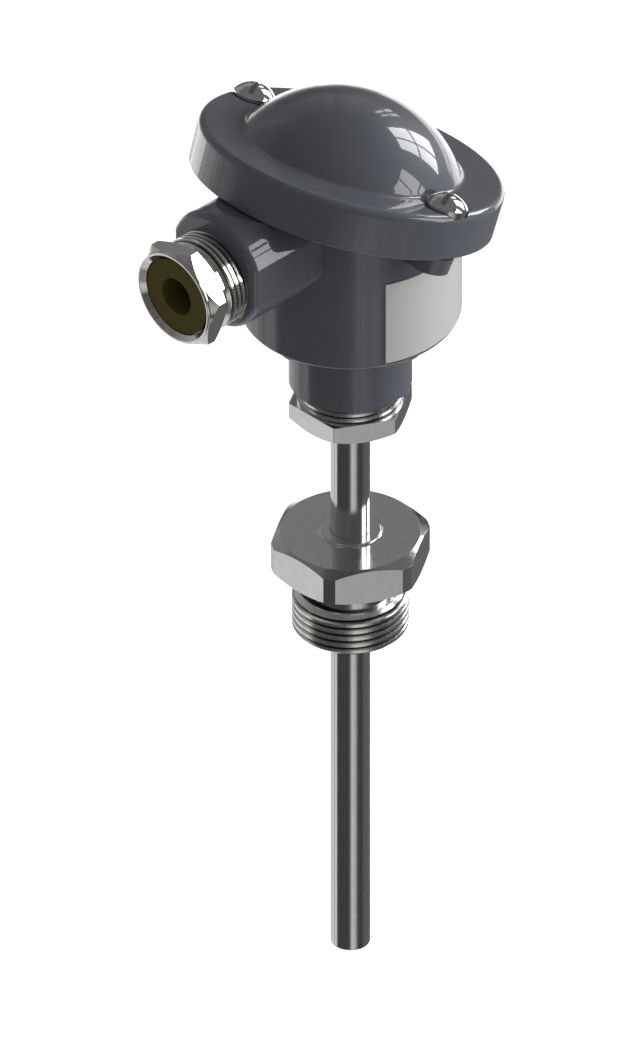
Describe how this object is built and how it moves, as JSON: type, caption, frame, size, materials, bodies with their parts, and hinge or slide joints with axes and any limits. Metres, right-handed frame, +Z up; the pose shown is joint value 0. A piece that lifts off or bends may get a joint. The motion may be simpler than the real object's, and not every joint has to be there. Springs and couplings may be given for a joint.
{
  "type": "rtd probe with head",
  "caption": "Resistance temperature probe: cast connection head with a tilted domed lid, cable gland, hexagon process connection and a straight closed protection tube.",
  "frame": {"origin": "on the probe's axis at the middle of the process thread", "axes": "+Z up the probe's axis from the tip to the head, -X along the cable entry, out of the head"},
  "size_m": [0.0904, 0.0716, 0.2328],
  "materials": {
    "head_paint": "gloss",
    "turned_steel": "satin",
    "screw_chrome": "polished",
    "label_foil": "satin",
    "seal_rubber": "matte",
    "gasket_rubber": "matte",
    "ceramic": "glazed",
    "terminal_brass": "satin",
    "plated_steel": "zinc plated",
    "powder": "matte",
    "lead_wire": "bright"
  },
  "bodies": {
    "housing": {"protection_tube": "turned_steel", "neck_tube": "turned_steel", "process_union": "turned_steel", "neck_nipple": "turned_steel", "head_body": "head_paint", "cover_gasket": "gasket_rubber", "gland_seal": "seal_rubber", "gland_washer": "plated_steel", "type_label": "label_foil", "earth_washer": "plated_steel", "earth_screw": "plated_steel", "spring_screw_front": "plated_steel", "spring_screw_rear": "plated_steel", "insert_spring_front": "plated_steel", "insert_spring_rear": "plated_steel"},
    "lid": {"head_lid": "head_paint"},
    "lid_screw_front": {"lid_screw_front": "screw_chrome"},
    "lid_screw_rear": {"lid_screw_rear": "screw_chrome"},
    "gland_screw": {"gland_screw": "turned_steel"},
    "insert": {"insert_sheath": "turned_steel", "sheath_powder": "powder", "sensing_element": "ceramic", "insert_flange": "plated_steel", "terminal_block": "ceramic", "terminal_screws": "plated_steel", "terminal_1": "terminal_brass", "lead_1": "lead_wire", "terminal_2": "terminal_brass", "lead_2": "lead_wire", "terminal_3": "terminal_brass", "lead_3": "lead_wire", "terminal_4": "terminal_brass", "lead_4": "lead_wire"}
  },
  "joints": [
    {"name": "insert_travel", "type": "slide", "parent": "housing", "child": "insert", "axis": [0, 0, 1], "range_m": [0, 0.006], "stiffness_N_per_m": 2400, "springref_m": -0.005, "deforming": ["insert_spring_front", "insert_spring_rear"]},
    {"name": "lid_lift", "type": "slide", "parent": "housing", "child": "lid", "axis": [0.3535, 0, 0.9354], "range_m": [0, 0.03]},
    {"name": "lid_screw_front_turn", "type": "hinge", "parent": "lid", "child": "lid_screw_front", "pos_m": [0, -0.0307, 0.12515], "axis": [0.3535, 0, 0.9354], "continuous": true},
    {"name": "lid_screw_rear_turn", "type": "hinge", "parent": "lid", "child": "lid_screw_rear", "pos_m": [0, 0.0307, 0.12515], "axis": [0.3535, 0, 0.9354], "continuous": true},
    {"name": "gland_screw_turn", "type": "hinge", "parent": "housing", "child": "gland_screw", "pos_m": [-0.0512, 0, 0.11275], "axis": [-1, 0, 0], "continuous": true}
  ]
}
